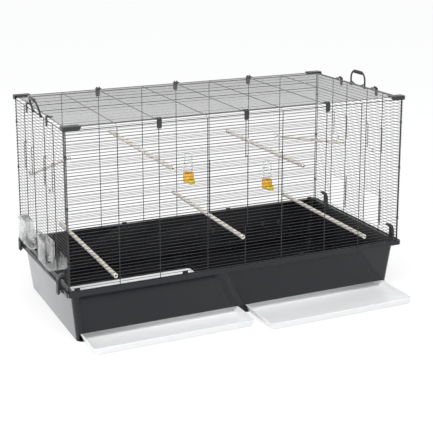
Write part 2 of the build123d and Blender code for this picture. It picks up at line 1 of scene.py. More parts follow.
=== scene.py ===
import math

import bpy
from mathutils import Matrix, Vector


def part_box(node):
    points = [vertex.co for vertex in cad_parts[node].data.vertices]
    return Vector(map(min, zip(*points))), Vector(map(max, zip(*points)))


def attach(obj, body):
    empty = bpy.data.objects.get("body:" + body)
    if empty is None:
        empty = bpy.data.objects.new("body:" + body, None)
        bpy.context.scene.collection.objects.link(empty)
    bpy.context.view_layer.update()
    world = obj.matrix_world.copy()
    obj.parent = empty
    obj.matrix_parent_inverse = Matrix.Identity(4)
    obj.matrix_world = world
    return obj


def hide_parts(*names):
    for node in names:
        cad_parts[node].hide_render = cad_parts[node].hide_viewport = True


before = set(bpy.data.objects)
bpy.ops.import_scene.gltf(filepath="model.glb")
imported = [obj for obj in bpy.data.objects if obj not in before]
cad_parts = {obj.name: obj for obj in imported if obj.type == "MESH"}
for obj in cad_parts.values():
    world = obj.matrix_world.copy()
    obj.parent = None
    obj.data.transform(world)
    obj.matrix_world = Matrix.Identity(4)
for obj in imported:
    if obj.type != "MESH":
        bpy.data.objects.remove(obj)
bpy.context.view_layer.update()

bl_info = {
    "name": "Wire bird cage",
    "version": (1, 0, 0),
    "blender": (4, 5, 0),
    "location": "View3D > Sidebar > Cage",
    "description": "Dresses the packed bird cage: wires, tub, trays, perches and drinkers",
    "category": "Object",
}

MM = 0.001
SMOOTH_ANGLE = math.radians(32)
WELD_DISTANCE = 0.01 * MM        # vertices nearer than this are one
FLAT_ANGLE = math.radians(0.5)   # faces that meet flatter than this are one
SHARP_ANGLE = math.radians(30)   # edges sharper than this are rounded
EDGE_STEPS = 2

LEFT_RIGHT = ("left", "right")
FRONT_REAR = ("front", "rear")
WIRE_NODES = ["front_panel", "back_panel", "left_panel", "right_panel", "roof_panel", "front_door",
              "front_door_catches", "nest_door_left_front", "nest_door_left_rear",
              "nest_door_right_front", "nest_door_right_rear", "feeder_hatch_front", "feeder_hatch_rear"]
LONG_PERCHES = ["perch_low_left", "perch_low_middle", "perch_low_right", "perch_high_left",
                "perch_high_right"]
CORNERS = ["front_left", "front_right", "back_left", "back_right"]


# Settings that a user would change

class FinishSettings(bpy.types.PropertyGroup):
    tub: bpy.props.FloatVectorProperty(
        name="Tub", description="Colour of the tub's plastic", subtype="COLOR",
        default=(0.007, 0.008, 0.011))
    # The inside is the same plastic as the outside, painted darker as the shade that falls inside the
    # tub.
    tub_interior_painted_shade: bpy.props.FloatVectorProperty(
        name="Tub inside", description="Colour of the duller inside of the tub", subtype="COLOR",
        default=(0.004, 0.0045, 0.006))
    tray: bpy.props.FloatVectorProperty(
        name="Trays", description="Colour of the slide-out trays", subtype="COLOR",
        default=(0.86, 0.87, 0.87))
    wire: bpy.props.FloatVectorProperty(
        name="Wires", description="Colour of the wire coating", subtype="COLOR",
        default=(0.012, 0.012, 0.013))
    trim: bpy.props.FloatVectorProperty(
        name="Clips and handles", description="Colour of the clips, handles and latches",
        subtype="COLOR", default=(0.018, 0.019, 0.021))
    perch_light: bpy.props.FloatVectorProperty(
        name="Perch, light", description="Lighter colour of the mottled perches", subtype="COLOR",
        default=(0.80, 0.77, 0.70))
    perch_dark: bpy.props.FloatVectorProperty(
        name="Perch, dark", description="Darker bands of the mottled perches", subtype="COLOR",
        default=(0.36, 0.31, 0.26))
    drinker: bpy.props.FloatVectorProperty(
        name="Drinkers", description="Colour of the drinking bowls", subtype="COLOR",
        default=(0.95, 0.50, 0.03))
    clear: bpy.props.FloatVectorProperty(
        name="Clear plastic", description="Tint of the feeders and tanks", subtype="COLOR",
        default=(0.97, 0.985, 0.99))


class StageSettings(bpy.types.PropertyGroup):
    camera_place: bpy.props.FloatVectorProperty(
        name="Camera place", description="Where the camera stands", subtype="TRANSLATION",
        unit="LENGTH", default=(-1.4534, -3.1869, 1.3491))
    camera_yaw: bpy.props.FloatProperty(
        name="Camera yaw", description="Turn of the camera from the back towards the right",
        subtype="ANGLE", default=math.radians(24.968))
    camera_pitch: bpy.props.FloatProperty(
        name="Camera pitch", description="Tilt of the camera below the horizon", subtype="ANGLE",
        default=math.radians(12.534))
    lens: bpy.props.FloatProperty(
        name="Lens", description="Focal length in millimetres", default=86.548)
    lens_shift: bpy.props.FloatProperty(
        name="Lens shift", description="Downward shift that keeps the uprights nearly parallel",
        default=-0.2)
    sky: bpy.props.FloatProperty(
        name="Room light", description="Strength of the even light from all round", default=0.80)
    softbox: bpy.props.FloatProperty(
        name="Soft lamp", description="Power of the large lamp above the front", default=95.0)
    side_lamp: bpy.props.FloatProperty(
        name="Side lamp", description="Power of the lamp at the left", default=30.0)


class ShapeSettings(bpy.types.PropertyGroup):
    perch_groove: bpy.props.FloatProperty(
        name="Perch groove", description="Depth of the spiral grooves in the perches", unit="LENGTH",
        default=0.45 * MM)
    perch_turn: bpy.props.FloatProperty(
        name="Perch turn", description="Length in which a groove winds once round a perch", unit="LENGTH",
        default=36 * MM)
    bottle_wall: bpy.props.FloatProperty(
        name="Bottle wall", description="Thickness of a drinker's bottle", unit="LENGTH",
        default=1.4 * MM)
    tub_edge: bpy.props.FloatProperty(
        name="Tub edge", description="Rounding of the tub's edges", unit="LENGTH", default=0.9 * MM)
    tray_edge: bpy.props.FloatProperty(
        name="Tray edge", description="Rounding of the trays' edges", unit="LENGTH",
        default=0.7 * MM)
    trim_edge: bpy.props.FloatProperty(
        name="Clip edge", description="Rounding of the clips and latches", unit="LENGTH",
        default=0.5 * MM)


def finish_settings():
    return bpy.context.scene.cage_finish


def shape_settings():
    return bpy.context.scene.cage_shape


# Working on meshes

def leave_edit_mode():
    if bpy.context.object and bpy.context.object.mode != "OBJECT":
        bpy.ops.object.mode_set(mode="OBJECT")


def clear_selection():
    leave_edit_mode()
    bpy.ops.object.select_all(action="DESELECT")


def activate(piece):
    clear_selection()
    piece.select_set(True)
    bpy.context.view_layer.objects.active = piece


def apply_modifier(piece, kind, **values):
    modifier = piece.modifiers.new(kind.title(), kind)
    for key, value in values.items():
        setattr(modifier, key, value)
    activate(piece)
    bpy.ops.object.modifier_apply(modifier=modifier.name)


def select_faces(piece, chosen):
    """Opens a piece in edit mode with the faces selected for which chosen(face) is true."""
    activate(piece)
    bpy.ops.object.mode_set(mode="EDIT")
    bpy.ops.mesh.select_mode(type="FACE")
    bpy.ops.mesh.select_all(action="DESELECT")
    bpy.ops.object.mode_set(mode="OBJECT")
    for face in piece.data.polygons:
        face.select = chosen(face)
    bpy.ops.object.mode_set(mode="EDIT")


def face_outwards(piece):
    activate(piece)
    bpy.ops.object.mode_set(mode="EDIT")
    bpy.ops.mesh.select_all(action="SELECT")
    bpy.ops.mesh.remove_doubles(threshold=WELD_DISTANCE)
    bpy.ops.mesh.normals_make_consistent(inside=False)
    bpy.ops.object.mode_set(mode="OBJECT")


def smooth(piece):
    activate(piece)
    bpy.ops.object.shade_smooth_by_angle(angle=SMOOTH_ANGLE)


def paint(piece, material):
    piece.data.materials.clear()
    piece.data.materials.append(material)


def dress(piece, name, material, body, slot, *nodes):
    """Names, paints and hangs a finished piece on its body, in place of its CAD nodes."""
    piece.name = name
    piece.data.name = name
    paint(piece, material)
    smooth(piece)
    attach(piece, body)
    if nodes:
        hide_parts(*nodes)


def moulded_copy(node, edge):
    """A copy of a node with its seams closed, its flat faces whole and its edges rounded."""
    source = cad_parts[node]
    piece = source.copy()
    piece.data = source.data.copy()
    piece.parent = None
    piece.matrix_world = Matrix.Identity(4)
    bpy.context.scene.collection.objects.link(piece)
    activate(piece)
    bpy.ops.object.mode_set(mode="EDIT")
    bpy.ops.mesh.select_all(action="SELECT")
    bpy.ops.mesh.remove_doubles(threshold=WELD_DISTANCE)
    bpy.ops.mesh.dissolve_limited(angle_limit=FLAT_ANGLE, use_dissolve_boundaries=False)
    bpy.ops.object.mode_set(mode="OBJECT")
    apply_modifier(piece, "BEVEL", width=edge, segments=EDGE_STEPS, limit_method="ANGLE",
                   angle_limit=SHARP_ANGLE, miter_outer="MITER_ARC", use_clamp_overlap=True)
    return piece


def ring(radius, sides, place, turn=(0, 0, 0)):
    """A new filled ring, left selected in edit mode."""
    clear_selection()
    bpy.ops.mesh.primitive_circle_add(vertices=sides, radius=radius, location=place,
                                      rotation=turn, fill_type="NGON")
    piece = bpy.context.object
    bpy.ops.object.transform_apply(location=True, rotation=True, scale=True)
    bpy.ops.object.mode_set(mode="EDIT")
    bpy.ops.mesh.select_all(action="SELECT")
    return piece


def draw_out(step):
    bpy.ops.mesh.extrude_region_move(TRANSFORM_OT_translate={"value": step})


def turned(profile, sides, axis):
    """A turned shape along Z, drawn out ring by ring from (radius, height) pairs."""
    piece = ring(profile[0][0], sides, (*axis, profile[0][1]))
    for (r0, h0), (r1, h1) in zip(profile, profile[1:]):
        draw_out((0, 0, h1 - h0))
        if r1 != r0:
            bpy.ops.transform.resize(value=(r1 / r0, r1 / r0, 1), center_override=(*axis, h1))
    bpy.ops.object.mode_set(mode="OBJECT")
    face_outwards(piece)
    return piece


# Effects shared by the finishes

def new_group(name, inputs, outputs):
    group = bpy.data.node_groups.new(name, "ShaderNodeTree")
    for label, kind, default in inputs:
        socket = group.interface.new_socket(name=label, in_out="INPUT", socket_type=kind)
        socket.default_value = default
    for label, kind in outputs:
        group.interface.new_socket(name=label, in_out="OUTPUT", socket_type=kind)
    return group, group.nodes.new("NodeGroupInput"), group.nodes.new("NodeGroupOutput")


def wire_up(tree, *pairs):
    for start, end in pairs:
        tree.links.new(start, end)


def grain_group():
    """Fine moulded grain: roughness that varies a little and a height for the bump."""
    group, given, result = new_group(
        "Moulded Grain",
        [("Scale", "NodeSocketFloat", 400.0), ("Low", "NodeSocketFloat", 0.25),
         ("High", "NodeSocketFloat", 0.4), ("Patch Scale", "NodeSocketFloat", 9.0)],
        [("Roughness", "NodeSocketFloat"), ("Height", "NodeSocketFloat")])
    place = group.nodes.new("ShaderNodeTexCoord")
    fine = group.nodes.new("ShaderNodeTexNoise")
    fine.inputs["Detail"].default_value = 3.0
    patch = group.nodes.new("ShaderNodeTexNoise")
    patch.inputs["Detail"].default_value = 5.0
    patch.inputs["Roughness"].default_value = 0.62
    spread = group.nodes.new("ShaderNodeMapRange")
    spread.inputs["From Min"].default_value = 0.32
    spread.inputs["From Max"].default_value = 0.68
    wire_up(group,
            (place.outputs["Object"], fine.inputs["Vector"]),
            (place.outputs["Object"], patch.inputs["Vector"]),
            (given.outputs["Scale"], fine.inputs["Scale"]),
            (given.outputs["Patch Scale"], patch.inputs["Scale"]),
            (patch.outputs["Fac"], spread.inputs["Value"]),
            (given.outputs["Low"], spread.inputs["To Min"]),
            (given.outputs["High"], spread.inputs["To Max"]),
            (spread.outputs["Result"], result.inputs["Roughness"]),
            (fine.outputs["Fac"], result.inputs["Height"]))
    return group


def highlight_and_dust_group():
    """Painted highlight along the edges, paler and patchy, and a thin film of dust on what faces up."""
    group, given, result = new_group(
        "Edge Highlight And Dust",
        [("Color", "NodeSocketColor", (0.5, 0.5, 0.5, 1)),
         ("Rubbed", "NodeSocketColor", (0.5, 0.5, 0.5, 1)),
         ("Rub", "NodeSocketFloat", 0.3),
         ("Dust Color", "NodeSocketColor", (0.45, 0.43, 0.4, 1)),
         ("Dust", "NodeSocketFloat", 0.06)],
        [("Color", "NodeSocketColor"), ("Mask", "NodeSocketFloat")])
    surface = group.nodes.new("ShaderNodeNewGeometry")
    place = group.nodes.new("ShaderNodeTexCoord")
    # Sharp edges, found by pointiness, are painted paler as highlight.
    edges = group.nodes.new("ShaderNodeMapRange")
    edges.inputs["From Min"].default_value = 0.52
    edges.inputs["From Max"].default_value = 0.64
    blotch = group.nodes.new("ShaderNodeTexNoise")
    blotch.inputs["Scale"].default_value = 26.0
    blotch.inputs["Detail"].default_value = 6.0
    edge_highlight = group.nodes.new("ShaderNodeMath")
    edge_highlight.operation = "MULTIPLY"
    edge_highlight_amount = group.nodes.new("ShaderNodeMath")
    edge_highlight_amount.operation = "MULTIPLY"
    edge_highlight_mix = group.nodes.new("ShaderNodeMix")
    edge_highlight_mix.data_type = "RGBA"
    up = group.nodes.new("ShaderNodeSeparateXYZ")
    up_mask = group.nodes.new("ShaderNodeMapRange")
    up_mask.inputs["From Min"].default_value = 0.55
    up_mask.inputs["From Max"].default_value = 1.0
    dust = group.nodes.new("ShaderNodeMath")
    dust.operation = "MULTIPLY"
    dust_amount = group.nodes.new("ShaderNodeMath")
    dust_amount.operation = "MULTIPLY"
    dust_mix = group.nodes.new("ShaderNodeMix")
    dust_mix.data_type = "RGBA"
    wire_up(group,
            (surface.outputs["Pointiness"], edges.inputs["Value"]),
            (place.outputs["Object"], blotch.inputs["Vector"]),
            (edges.outputs["Result"], edge_highlight.inputs[0]),
            (blotch.outputs["Fac"], edge_highlight.inputs[1]),
            (edge_highlight.outputs["Value"], edge_highlight_amount.inputs[0]),
            (given.outputs["Rub"], edge_highlight_amount.inputs[1]),
            (edge_highlight_amount.outputs["Value"], edge_highlight_mix.inputs["Factor"]),
            (given.outputs["Color"], edge_highlight_mix.inputs["A"]),
            (given.outputs["Rubbed"], edge_highlight_mix.inputs["B"]),
            (surface.outputs["Normal"], up.inputs["Vector"]),
            (up.outputs["Z"], up_mask.inputs["Value"]),
            (up_mask.outputs["Result"], dust.inputs[0]),
            (blotch.outputs["Fac"], dust.inputs[1]),
            (dust.outputs["Value"], dust_amount.inputs[0]),
            (given.outputs["Dust"], dust_amount.inputs[1]),
            (dust_amount.outputs["Value"], dust_mix.inputs["Factor"]),
            (edge_highlight_mix.outputs["Result"], dust_mix.inputs["A"]),
            (given.outputs["Dust Color"], dust_mix.inputs["B"]),
            (dust_mix.outputs["Result"], result.inputs["Color"]),
            (dust_amount.outputs["Value"], result.inputs["Mask"]))
    return group


def place_group(tree, name, builder, **values):
    """One of the shared effects in a material, with this material's own values."""
    node = tree.nodes.new("ShaderNodeGroup")
    node.node_tree = bpy.data.node_groups.get(name) or builder()
    for label, value in values.items():
        node.inputs[label.replace("_", " ")].default_value = value
    return node


def shade(name, color, roughness, **constants):
    """A new material with the shader's constants set on its own sockets."""
    material = bpy.data.materials.new(name)
    material.use_nodes = True
    shader = material.node_tree.nodes["Principled BSDF"]
    shader.inputs["Base Color"].default_value = (*color, 1)
    shader.inputs["Roughness"].default_value = roughness
    for label, value in constants.items():
        shader.inputs[label.replace("_", " ")].default_value = value
    return material, material.node_tree, shader


def add_bump(tree, shader, height, strength, distance):
    bump = tree.nodes.new("ShaderNodeBump")
    bump.inputs["Strength"].default_value = strength
    bump.inputs["Distance"].default_value = distance
    wire_up(tree, (height, bump.inputs["Height"]), (bump.outputs["Normal"], shader.inputs["Normal"]))


def rgba(color):
    return (*color, 1)


GRAIN_HEIGHT = 0.2 * MM
MARK_HEIGHT = 0.3 * MM
EDGE_HIGHLIGHT_PALER = 0.06          # how much paler the painted edge highlight is than the colour


def moulded_finish(name, color, gloss, grain_scale, bump, edge_highlight, dust, **constants):
    """Moulded plastic or baked coating: patchy gloss, fine grain, painted edge highlights, a film of
    dust.
    """
    if name in bpy.data.materials:
        return bpy.data.materials[name]
    low, high = gloss
    material, tree, shader = shade(name, color, low, **constants)
    grain = place_group(tree, "Moulded Grain", grain_group, Scale=grain_scale, Low=low, High=high)
    highlight_and_dust = place_group(tree, "Edge Highlight And Dust", highlight_and_dust_group, Color=rgba(color),
                       Rubbed=rgba([c + EDGE_HIGHLIGHT_PALER for c in color]), Rub=edge_highlight, Dust=dust)
    wire_up(tree,
            (grain.outputs["Roughness"], shader.inputs["Roughness"]),
            (highlight_and_dust.outputs["Color"], shader.inputs["Base Color"]))
    add_bump(tree, shader, grain.outputs["Height"], bump, GRAIN_HEIGHT)
    return material


def tub_finish():
    return moulded_finish(
        "polished_tub", finish_settings().tub, gloss=(0.03, 0.08), grain_scale=520.0, bump=0.01,
        edge_highlight=0.35, dust=0.02, IOR=1.42, Sheen_Weight=0.2, Sheen_Roughness=0.32,
        Sheen_Tint=(0.85, 0.93, 1.0, 1))


# Duller gloss inside the tub, with a darker colour that is painted shade.
def tub_interior_painted_shade_finish():
    return moulded_finish(
        "dull_tub_inside", finish_settings().tub_interior_painted_shade, gloss=(0.2, 0.34), grain_scale=520.0,
        bump=0.05, edge_highlight=0.1, dust=0.01, IOR=1.4)


def tray_finish():
    return moulded_finish(
        "white_tray", finish_settings().tray, gloss=(0.3, 0.38), grain_scale=480.0, bump=0.05,
        edge_highlight=0.1, dust=0.004, IOR=1.5, Subsurface_Weight=0.05, Subsurface_Scale=0.002)


def wire_finish():
    return moulded_finish(
        "wire_coating", finish_settings().wire, gloss=(0.24, 0.4), grain_scale=900.0, bump=0.08,
        edge_highlight=0.2, dust=0.02, IOR=1.46, Coat_Weight=0.2, Coat_Roughness=0.12)


# The roof's colour is the walls' coating made paler: painted light falling on the roof from above.
ROOF_PAINTED_LIGHT = 6               # times the walls' colour


def roof_painted_light_finish():
    """The roof's coating, glossier than the walls', its colour made paler as painted light from above."""
    return moulded_finish(
        "roof_coating", [ROOF_PAINTED_LIGHT * c for c in finish_settings().wire], gloss=(0.12, 0.26),
        grain_scale=900.0, bump=0.08, edge_highlight=0.2, dust=0.05, IOR=1.6, Coat_Weight=1.0,
        Coat_Roughness=0.1)


def trim_finish():
    return moulded_finish(
        "grained_trim", finish_settings().trim, gloss=(0.34, 0.5), grain_scale=1100.0, bump=0.22,
        edge_highlight=0.5, dust=0.04, IOR=1.48)


STEEL_COLOR = (0.56, 0.56, 0.58)
THIN_PERCH_COLOR = (0.60, 0.56, 0.48)


def steel_finish():
    return moulded_finish(
        "bright_pin", STEEL_COLOR, gloss=(0.22, 0.4), grain_scale=1500.0, bump=0.1, edge_highlight=0.2,
        dust=0.0, Metallic=1.0)


def thin_perch_finish():
    return moulded_finish(
        "beige_thin_perch", THIN_PERCH_COLOR, gloss=(0.35, 0.5), grain_scale=700.0, bump=0.2,
        edge_highlight=0.3, dust=0.05)


def mottled_finish():
    """Mottled perch plastic: smudged brown bands that wind round a light beige ground."""
    name = "mottled_perch"
    if name in bpy.data.materials:
        return bpy.data.materials[name]
    settings = finish_settings()
    material, tree, shader = shade(name, settings.perch_light, 0.45)
    place = tree.nodes.new("ShaderNodeTexCoord")
    turns = tree.nodes.new("ShaderNodeTexWave")
    turns.wave_type = "BANDS"
    turns.bands_direction = "DIAGONAL"
    turns.inputs["Scale"].default_value = 48.0
    turns.inputs["Distortion"].default_value = 5.0
    turns.inputs["Detail"].default_value = 3.5
    turns.inputs["Detail Scale"].default_value = 1.6
    clouds = tree.nodes.new("ShaderNodeTexNoise")
    clouds.inputs["Scale"].default_value = 46.0
    clouds.inputs["Detail"].default_value = 6.0
    both = tree.nodes.new("ShaderNodeMath")
    both.operation = "MULTIPLY"
    ramp = tree.nodes.new("ShaderNodeValToRGB")
    ramp.color_ramp.elements[0].position = 0.1
    ramp.color_ramp.elements[0].color = rgba(settings.perch_light)
    ramp.color_ramp.elements[1].position = 0.62
    ramp.color_ramp.elements[1].color = rgba(settings.perch_dark)
    grain = place_group(tree, "Moulded Grain", grain_group, Scale=900.0, Low=0.38, High=0.55)
    wire_up(tree,
            (place.outputs["Object"], turns.inputs["Vector"]),
            (place.outputs["Object"], clouds.inputs["Vector"]),
            (turns.outputs["Fac"], both.inputs[0]),
            (clouds.outputs["Fac"], both.inputs[1]),
            (both.outputs["Value"], ramp.inputs["Fac"]),
            (ramp.outputs["Color"], shader.inputs["Base Color"]),
            (grain.outputs["Roughness"], shader.inputs["Roughness"]))
    add_bump(tree, shader, grain.outputs["Height"], 0.3, MARK_HEIGHT)
    return material


def clear_finish():
    """Clear moulded plastic with faint flow marks and a slightly frosted patchiness."""
    name = "clear_moulding"
    if name in bpy.data.materials:
        return bpy.data.materials[name]
    material, tree, shader = shade(name, finish_settings().clear, 0.02, IOR=1.4, Transmission_Weight=1.0,
                                   Alpha=0.38)
    grain = place_group(tree, "Moulded Grain", grain_group, Scale=180.0, Low=0.0, High=0.03)
    grain.inputs["Patch Scale"].default_value = 30.0
    wire_up(tree, (grain.outputs["Roughness"], shader.inputs["Roughness"]))
    add_bump(tree, shader, grain.outputs["Height"], 0.015, MARK_HEIGHT)
    return material


SPOUT_ROOT_Y = 0.252         # where the paler colour of a drinking lip starts
SPOUT_TIP_Y = 0.226
SPOUT_COLOR = (0.8, 0.66, 0.02)
# Colour of the painted highlight on the bowl's edges.
BOWL_EDGE_HIGHLIGHT = (1.0, 0.62, 0.12)


def drinker_finish():
    """Warm yellow plastic, deeper in the bowl and paler towards the drinking lip."""
    name = "yellow_drinker"
    if name in bpy.data.materials:
        return bpy.data.materials[name]
    color = finish_settings().drinker
    material, tree, shader = shade(name, color, 0.2, IOR=1.5, Subsurface_Weight=0.1,
                                   Subsurface_Scale=0.003, Coat_Weight=0.2)
    place = tree.nodes.new("ShaderNodeTexCoord")
    split = tree.nodes.new("ShaderNodeSeparateXYZ")
    reach = tree.nodes.new("ShaderNodeMapRange")
    reach.inputs["From Min"].default_value = SPOUT_ROOT_Y
    reach.inputs["From Max"].default_value = SPOUT_TIP_Y
    blend = tree.nodes.new("ShaderNodeMix")
    blend.data_type = "RGBA"
    blend.inputs["B"].default_value = rgba(SPOUT_COLOR)
    # The bowl's edges take a paler painted highlight.
    highlight_and_dust = place_group(tree, "Edge Highlight And Dust", highlight_and_dust_group, Color=rgba(color),
                       Rubbed=rgba(BOWL_EDGE_HIGHLIGHT), Rub=0.5, Dust=0.02)
    grain = place_group(tree, "Moulded Grain", grain_group, Scale=600.0, Low=0.16, High=0.3)
    wire_up(tree,
            (place.outputs["Object"], split.inputs["Vector"]),
            (split.outputs["Y"], reach.inputs["Value"]),
            (reach.outputs["Result"], blend.inputs["Factor"]),
            (highlight_and_dust.outputs["Color"], blend.inputs["A"]),
            (blend.outputs["Result"], shader.inputs["Base Color"]),
            (grain.outputs["Roughness"], shader.inputs["Roughness"]))
    add_bump(tree, shader, grain.outputs["Height"], 0.06, MARK_HEIGHT)
    return material


# Stage

FLOOR_SIZE = 60.0
FLOOR_DROP = 0.5 * MM        # keeps the floor clear of the tub's foot
FLOOR_COLOR = (0.88, 0.88, 0.88)
FLOOR_WHITE_SHARE = 0.7      # how much of the floor is plain white; the rest takes the shadow
FLOOR_WHITE = 1.08
ROOM_TINT = (0.97, 0.985, 1.0)
LAMP_AIM = {"top": (0, 0, 0.3), "left": (-0.2, 0, 0.3)}
LAMP_PLACE = {"top": (-0.9, -2.2, 3.4), "left": (-3.4, -0.6, 1.9)}
LAMP_SIZE = {"top": (3.2, 2.4), "left": (1.8, 2.2)}
SENSOR_WIDTH = 36.0
FAR_CLIP = 100.0


def floor_finish():
    """White studio floor that shows the camera and the reflections a clean white."""
    material, tree, shader = shade("studio_floor", FLOOR_COLOR, 0.7)
    shader.inputs["Specular IOR Level"].default_value = 0.0
    paper = place_group(tree, "Moulded Grain", grain_group, Scale=60.0, Low=0.65, High=0.8)
    rays = tree.nodes.new("ShaderNodeLightPath")
    seen = tree.nodes.new("ShaderNodeMath")
    seen.operation = "MAXIMUM"
    share = tree.nodes.new("ShaderNodeMath")
    share.operation = "MULTIPLY"
    share.inputs[1].default_value = FLOOR_WHITE_SHARE
    white = tree.nodes.new("ShaderNodeEmission")
    white.inputs["Color"].default_value = (1, 1, 1, 1)
    white.inputs["Strength"].default_value = FLOOR_WHITE
    mix = tree.nodes.new("ShaderNodeMixShader")
    wire_up(tree,
            (paper.outputs["Roughness"], shader.inputs["Roughness"]),
            (rays.outputs["Is Camera Ray"], seen.inputs[0]),
            (rays.outputs["Is Glossy Ray"], seen.inputs[1]),
            (seen.outputs["Value"], share.inputs[0]),
            (share.outputs["Value"], mix.inputs["Fac"]),
            (shader.outputs["BSDF"], mix.inputs[1]),
            (white.outputs["Emission"], mix.inputs[2]),
            (mix.outputs["Shader"], tree.nodes["Material Output"].inputs["Surface"]))
    return material


def white_world(strength):
    """Even room light, with plain white behind the cage and in what reflects or bends light."""
    world = bpy.data.worlds.new("studio_world")
    bpy.context.scene.world = world
    world.use_nodes = True
    tree = world.node_tree
    lit = tree.nodes["Background"]
    lit.inputs["Color"].default_value = rgba(ROOM_TINT)
    lit.inputs["Strength"].default_value = strength
    white = tree.nodes.new("ShaderNodeBackground")
    white.inputs["Color"].default_value = (1, 1, 1, 1)
    white.inputs["Strength"].default_value = 1.0
    rays = tree.nodes.new("ShaderNodeLightPath")
    first = tree.nodes.new("ShaderNodeMath")
    first.operation = "MAXIMUM"
    second = tree.nodes.new("ShaderNodeMath")
    second.operation = "MAXIMUM"
    mix = tree.nodes.new("ShaderNodeMixShader")
    wire_up(tree,
            (rays.outputs["Is Camera Ray"], first.inputs[0]),
            (rays.outputs["Is Glossy Ray"], first.inputs[1]),
            (first.outputs["Value"], second.inputs[0]),
            (rays.outputs["Is Transmission Ray"], second.inputs[1]),
            (second.outputs["Value"], mix.inputs["Fac"]),
            (lit.outputs["Background"], mix.inputs[1]),
            (white.outputs["Background"], mix.inputs[2]),
            (mix.outputs["Shader"], tree.nodes["World Output"].inputs["Surface"]))


def soft_lamp(side, power):
    place, aim = Vector(LAMP_PLACE[side]), Vector(LAMP_AIM[side])
    clear_selection()
    bpy.ops.object.light_add(type="AREA", location=place)
    lamp = bpy.context.object
    lamp.name = f"soft_lamp_{side}"
    lamp.data.shape = "RECTANGLE"
    lamp.data.size, lamp.data.size_y = LAMP_SIZE[side]
    lamp.data.energy = power
    lamp.rotation_euler = (aim - place).to_track_quat("-Z", "Y").to_euler()


class CAGE_OT_stage(bpy.types.Operator):
    """Set up the camera, the floor and the soft studio light"""
    bl_idname = "cage.stage"
    bl_label = "Stage"

    def execute(self, context):
        stage = context.scene.cage_stage
        clear_selection()
        bpy.ops.object.camera_add(location=stage.camera_place)
        camera = context.object
        camera.name = "studio_camera"
        camera.rotation_euler = (math.pi / 2 - stage.camera_pitch, 0, -stage.camera_yaw)
        camera.data.lens = stage.lens
        camera.data.shift_y = stage.lens_shift
        camera.data.sensor_width = SENSOR_WIDTH
        camera.data.clip_end = FAR_CLIP
        context.scene.camera = camera
        bpy.ops.mesh.primitive_plane_add(size=FLOOR_SIZE, location=(0, 0, -FLOOR_DROP))
        floor = context.object
        floor.name = "studio_floor"
        bpy.ops.object.transform_apply(location=True, rotation=True, scale=True)
        paint(floor, floor_finish())
        white_world(stage.sky)
        soft_lamp("top", stage.softbox)
        soft_lamp("left", stage.side_lamp)
        context.scene.view_settings.view_transform = "Standard"
        return {"FINISHED"}


# Pieces

class CAGE_OT_wires(bpy.types.Operator):
    """Coat the wire panels, doors and hatches"""
    bl_idname = "cage.wires"
    bl_label = "Wire panels and doors"

    def execute(self, context):
        for node in WIRE_NODES:
            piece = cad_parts[node]
            paint(piece, wire_finish())
            smooth(piece)
        paint(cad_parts["roof_panel"], roof_painted_light_finish())
        paint(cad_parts["latch_pins"], steel_finish())
        return {"FINISHED"}


TUB_RIM = 12 * MM            # height of the polished rim
TUB_END_MARGIN = 20 * MM     # how far in from the rim's reach the inside lies, at the ends
TUB_SIDE_MARGIN = 10 * MM    # and at the front and back
INWARD = 0.2                 # least lean of a normal towards the middle
UPWARD = 0.5                 # least height of the normal of a floor


def faces_the_inside(face, high):
    """Whether a face of the tub looks into it, judged by its place and its normal."""
    middle, normal = face.center, face.normal
    if middle.z > high[2] - TUB_RIM:
        return False
    inward = (middle.x * normal.x < -INWARD * abs(middle.x)
              or middle.y * normal.y < -INWARD * abs(middle.y))
    within = abs(middle.x) < high[0] - TUB_END_MARGIN and abs(middle.y) < high[1] - TUB_SIDE_MARGIN
    return within and (inward or normal.z > UPWARD)


class CAGE_OT_tub(bpy.types.Operator):
    """Round the tub's edges and give it its polished plastic, painted darker inside as shade"""
    bl_idname = "cage.tub"
    bl_label = "Tub"

    def execute(self, context):
        tub = moulded_copy("base_tub", shape_settings().tub_edge)
        dress(tub, "tub_moulding", tub_finish(), "cage", "tub_plastic", "base_tub")
        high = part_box("base_tub")[1]
        # The faces inside the tub get the darker painted-shade material.
        tub.data.materials.append(tub_interior_painted_shade_finish())
        select_faces(tub, lambda face: faces_the_inside(face, high))
        tub.active_material_index = 1
        bpy.ops.object.material_slot_assign()
        leave_edit_mode()
        return {"FINISHED"}


class CAGE_OT_trays(bpy.types.Operator):
    """Round the trays' lips and corners"""
    bl_idname = "cage.trays"
    bl_label = "Trays"

    def execute(self, context):
        for side in LEFT_RIGHT:
            node = f"tray_{side}"
            tray = moulded_copy(node, shape_settings().tray_edge)
            dress(tray, f"{node}_pan", tray_finish(), node, "tray_plastic", node)
        return {"FINISHED"}


class CAGE_OT_trim(bpy.types.Operator):
    """Round the clips, corner caps, ties and latches"""
    bl_idname = "cage.trim"
    bl_label = "Clips, ties and latches"

    def execute(self, context):
        edge = shape_settings().trim_edge
        for node in ["edge_clips", "corner_ties"] + [f"corner_clip_{corner}" for corner in CORNERS]:
            piece = moulded_copy(node, edge)
            dress(piece, f"{node}_moulded", trim_finish(), "cage", "trim_plastic", node)
        for side in LEFT_RIGHT:
            for place in FRONT_REAR:
                node = f"latch_{side}_{place}"
                piece = moulded_copy(node, edge)
                dress(piece, f"{node}_moulded", trim_finish(), node, "trim_plastic", node)
        return {"FINISHED"}


PERCH_SIDES = 24
PERCH_GROOVES = 3
PERCH_BORE = 3.6 * MM
PERCH_SPLIT = 2.2 * MM       # height of the slot that straddles a fine wire
PERCH_SPLIT_DEPTH = 13 * MM
OVERRUN = 1.1                # how much longer the bore's cutter is than the perch


def cut_away(piece, cutter):
    apply_modifier(piece, "BOOLEAN", object=cutter, operation="DIFFERENCE", solver="EXACT")
    bpy.data.objects.remove(cutter, do_unlink=True)


